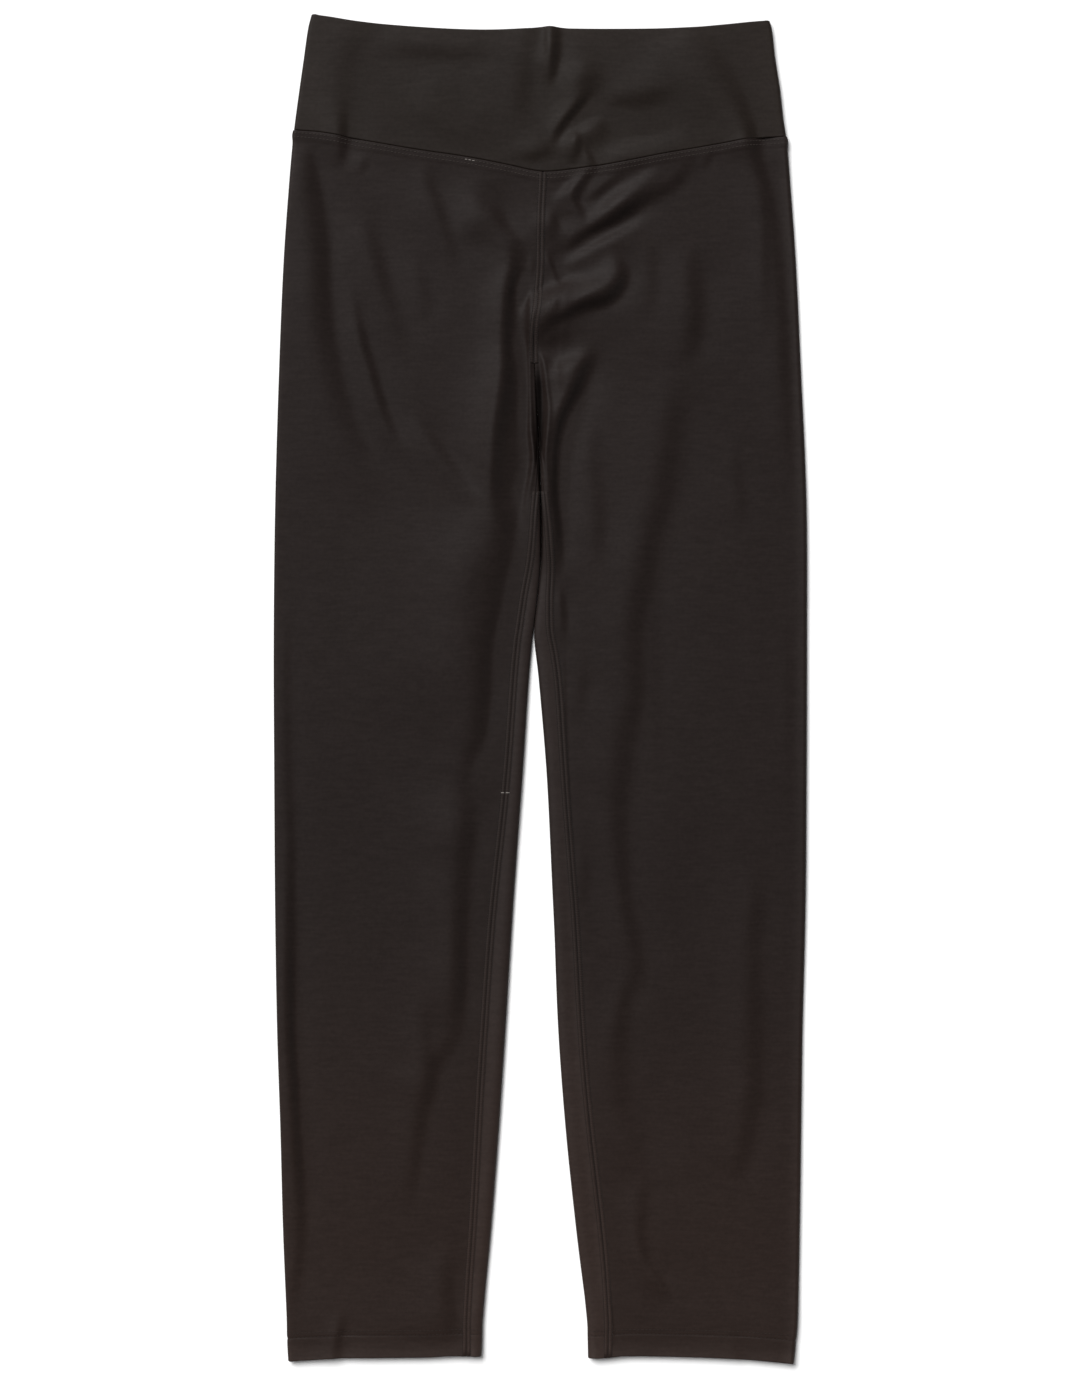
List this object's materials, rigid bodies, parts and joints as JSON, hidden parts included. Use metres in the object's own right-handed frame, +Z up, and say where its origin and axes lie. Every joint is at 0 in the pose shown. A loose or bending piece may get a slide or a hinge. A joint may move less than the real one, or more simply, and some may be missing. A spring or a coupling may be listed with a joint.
{
  "type": "leggings",
  "caption": "High-rise full-length leggings laid flat, front up, with a wide waistband whose seam dips at the centre and plain turned hems.",
  "frame": {"origin": "centre of the laid-out garment's outline, on the surface it lies on", "axes": "+Y from the hems towards the waistband, +Z up out of the garment's front, +X towards the wearer's left leg"},
  "size_m": [0.3757, 0.95, 0.0088],
  "materials": {
    "waistband_knit": "smooth doubled knit, matt with a faint sheen",
    "leg_knit": "smooth fine knit, matt with a faint sheen",
    "thread": "polyester sewing thread"
  },
  "bodies": {
    "root": {"waistband_front": "waistband_knit", "waistband_back": "waistband_knit", "leg_right": "leg_knit", "leg_left": "leg_knit"}
  },
  "joints": []
}
